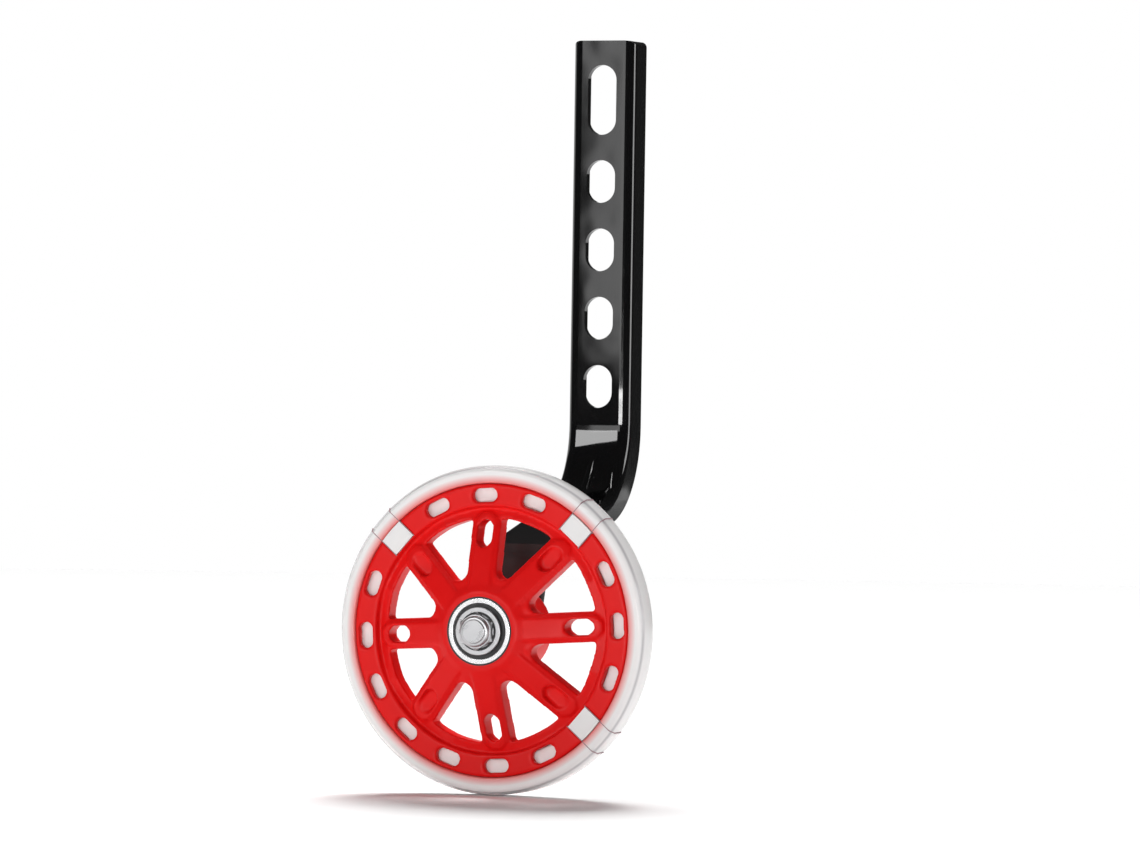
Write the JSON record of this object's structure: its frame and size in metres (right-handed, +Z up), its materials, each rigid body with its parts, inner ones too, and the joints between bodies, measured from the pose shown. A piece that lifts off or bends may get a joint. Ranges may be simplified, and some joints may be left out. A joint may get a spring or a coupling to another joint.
{
  "type": "bicycle training wheel",
  "caption": "Bicycle training wheel: a spoked moulded wheel with a clear tyre and rim lights turns on ball bearings at the foot of a bent steel channel bracket with axle slots.",
  "frame": {"origin": "on the ground, under the middle of the whole unit's width and depth", "axes": "+Z up along the bracket's arm, +Y inwards along the wheel's axle towards the bicycle, +X to the right when looking at the wheel's outer face"},
  "size_m": [0.11, 0.123, 0.257],
  "materials": {
    "black_painted_steel": "gloss",
    "zinc_plated_steel": "satin",
    "bearing_steel": "ground",
    "red_plastic": "moulded gloss",
    "clear_tyre": "milky clear",
    "clear_plastic": "milky clear",
    "light_board": "satin",
    "light_emitter": "gloss"
  },
  "bodies": {
    "bracket": {"bracket": "black_painted_steel", "axle_bolt": "zinc_plated_steel", "rear_bush": "zinc_plated_steel", "bearing_sleeve": "zinc_plated_steel", "front_washer": "zinc_plated_steel", "lock_nut": "zinc_plated_steel", "front_bearing_inner_ring": "bearing_steel", "rear_bearing_inner_ring": "bearing_steel"},
    "wheel": {"wheel_core": "red_plastic", "tyre": "clear_tyre", "front_bearing_outer_ring": "bearing_steel", "rear_bearing_outer_ring": "bearing_steel", "upper_right_light_block": "clear_plastic", "upper_right_light_board": "light_board", "upper_right_light_emitter": "light_emitter", "upper_left_light_block": "clear_plastic", "upper_left_light_board": "light_board", "upper_left_light_emitter": "light_emitter", "lower_right_light_block": "clear_plastic", "lower_right_light_board": "light_board", "lower_right_light_emitter": "light_emitter"}
  },
  "joints": [
    {"name": "wheel_spin", "type": "hinge", "parent": "bracket", "child": "wheel", "pos_m": [0, -0.04115, 0.055], "axis": [0, 1, 0], "continuous": true}
  ]
}
